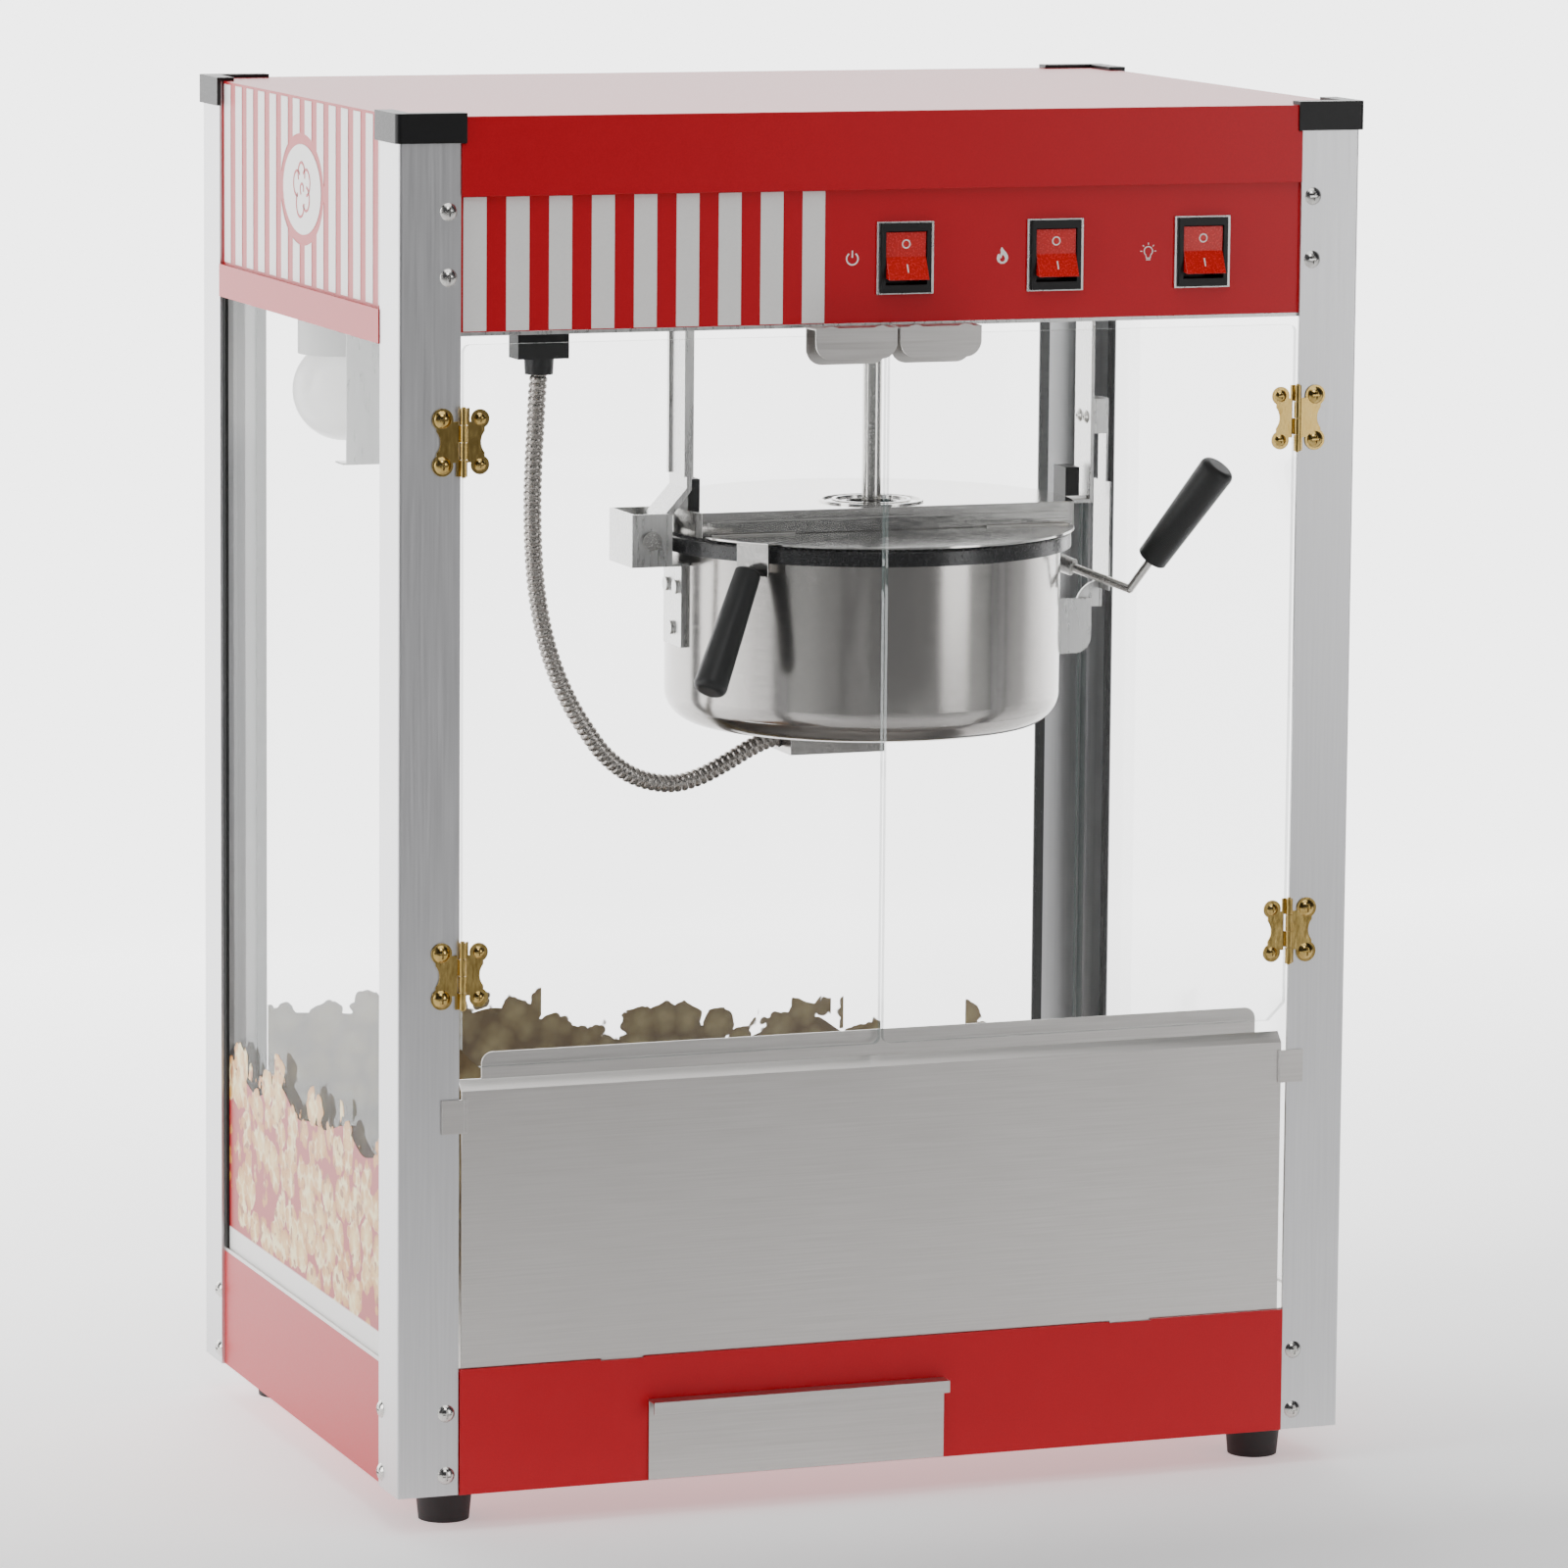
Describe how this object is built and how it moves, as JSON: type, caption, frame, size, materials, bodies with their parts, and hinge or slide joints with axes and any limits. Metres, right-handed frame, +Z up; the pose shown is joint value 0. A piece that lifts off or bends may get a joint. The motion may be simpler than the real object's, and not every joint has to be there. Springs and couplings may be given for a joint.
{
  "type": "popcorn maker",
  "caption": "Countertop popcorn machine: glazed cabinet, hinged doors, swing-down kettle with lid flap and stirrer, rocker switches and a kernel drawer.",
  "frame": {"origin": "centre of the footprint on the table, under the feet", "axes": "+Z up, the front with the doors and switches faces -Y, +X to its right"},
  "size_m": [0.5608, 0.412, 0.77],
  "materials": {
    "alu": "satin anodised",
    "red_paint": "gloss powder coat",
    "steel": "brushed",
    "bright_steel": "bright plated",
    "brass": "lacquered",
    "black_plastic": "moulded",
    "rubber": "matte",
    "clear": "polished",
    "white_print": "printed film",
    "corn_print": "printed film",
    "red_rocker": "see-through moulded",
    "bulb_glass": "pearl",
    "lamp_cup": "moulded",
    "motor": "zinc plated"
  },
  "bodies": {
    "cabinet": {"post_front_left": "alu", "post_front_right": "alu", "post_rear_left": "alu", "post_rear_right": "alu", "corner_caps": "black_plastic", "feet": "rubber", "top_cover": "red_paint", "control_panel": "red_paint", "ceiling_plate": "steel", "side_headers": "red_paint", "rear_header": "red_paint", "header_stripes": "white_print", "base_shell": "red_paint", "chamber_deck": "steel", "glass_sides": "clear", "glass_rear": "clear", "glass_gaskets": "rubber", "popcorn_decals": "corn_print", "frame_screws": "bright_steel", "hinge_frame_leaves": "brass", "lamp_socket": "lamp_cup", "lamp_bulb": "bulb_glass", "lamp_guard": "steel", "hanger_left": "steel", "hanger_right": "steel", "lid_plate": "steel", "lid_blocks": "black_plastic", "gear_motor": "motor", "kettle_socket": "black_plastic", "kettle_plug": "black_plastic", "conduit": "motor", "switch_frames": "steel", "switch_bodies": "black_plastic", "cable_gland": "black_plastic"},
    "front_panel": {"front_panel": "steel", "panel_lip": "steel"},
    "power_rocker": {"rocker_power": "red_rocker"},
    "heat_rocker": {"rocker_heat": "red_rocker"},
    "light_rocker": {"rocker_light": "red_rocker"},
    "drawer": {"drawer": "steel"},
    "left_door": {"door_left": "clear", "handle_left": "steel", "hinge_leaves_left": "brass"},
    "right_door": {"door_right": "clear", "handle_right": "steel", "hinge_leaves_right": "brass"},
    "kettle": {"pot": "steel", "pot_rim": "black_plastic", "heater_cover": "steel", "heating_element": "motor", "bracket_left": "steel", "bracket_right": "steel", "latch_fin": "steel", "swing_pin": "bright_steel", "crank_rod": "bright_steel", "crank_grip": "black_plastic"},
    "lid_flap": {"lid_flap": "steel", "lid_grip": "black_plastic"},
    "stirrer": {"stirrer": "bright_steel"},
    "latch": {"latch_spring": "steel"}
  },
  "joints": [
    {"name": "left_door_hinge", "type": "hinge", "parent": "cabinet", "child": "left_door", "pos_m": [-0.2424, -0.1921, 0.45], "axis": [0, 0, -1], "range_deg": [0, 115]},
    {"name": "right_door_hinge", "type": "hinge", "parent": "cabinet", "child": "right_door", "pos_m": [0.2424, -0.1921, 0.45], "axis": [0, 0, 1], "range_deg": [0, 115]},
    {"name": "kettle_swing", "type": "hinge", "parent": "cabinet", "child": "kettle", "pos_m": [-0.0765, 0, 0.517], "axis": [0, 1, 0], "range_deg": [0, 65], "deforming": ["conduit"]},
    {"name": "lid_flap_hinge", "type": "hinge", "parent": "cabinet", "child": "lid_flap", "pos_m": [0.061, -0.0375, 0.5204], "axis": [-1, 0, 0], "range_deg": [0, 80]},
    {"name": "stirrer_spin", "type": "hinge", "parent": "cabinet", "child": "stirrer", "pos_m": [0.063, 0, 0.55], "axis": [0, 0, 1], "continuous": true},
    {"name": "latch_flex", "type": "hinge", "parent": "cabinet", "child": "latch", "pos_m": [0.2053, 0, 0.589], "axis": [0, -1, 0], "range_deg": [0, 6], "stiffness_Nm_per_rad": 4},
    {"name": "power_rocker_tilt", "type": "hinge", "parent": "cabinet", "child": "power_rocker", "pos_m": [0.00965, -0.187, 0.688], "axis": [1, 0, 0], "range_deg": [0, 24]},
    {"name": "heat_rocker_tilt", "type": "hinge", "parent": "cabinet", "child": "heat_rocker", "pos_m": [0.0975, -0.187, 0.688], "axis": [1, 0, 0], "range_deg": [0, 24]},
    {"name": "light_rocker_tilt", "type": "hinge", "parent": "cabinet", "child": "light_rocker", "pos_m": [0.1848, -0.187, 0.688], "axis": [1, 0, 0], "range_deg": [0, 24]},
    {"name": "drawer_slide", "type": "slide", "parent": "cabinet", "child": "drawer", "axis": [0, -1, 0], "range_m": [0, 0.2]},
    {"name": "front_panel_lift", "type": "slide", "parent": "cabinet", "child": "front_panel", "axis": [0, 0, 1], "range_m": [0, 0.005]}
  ]
}
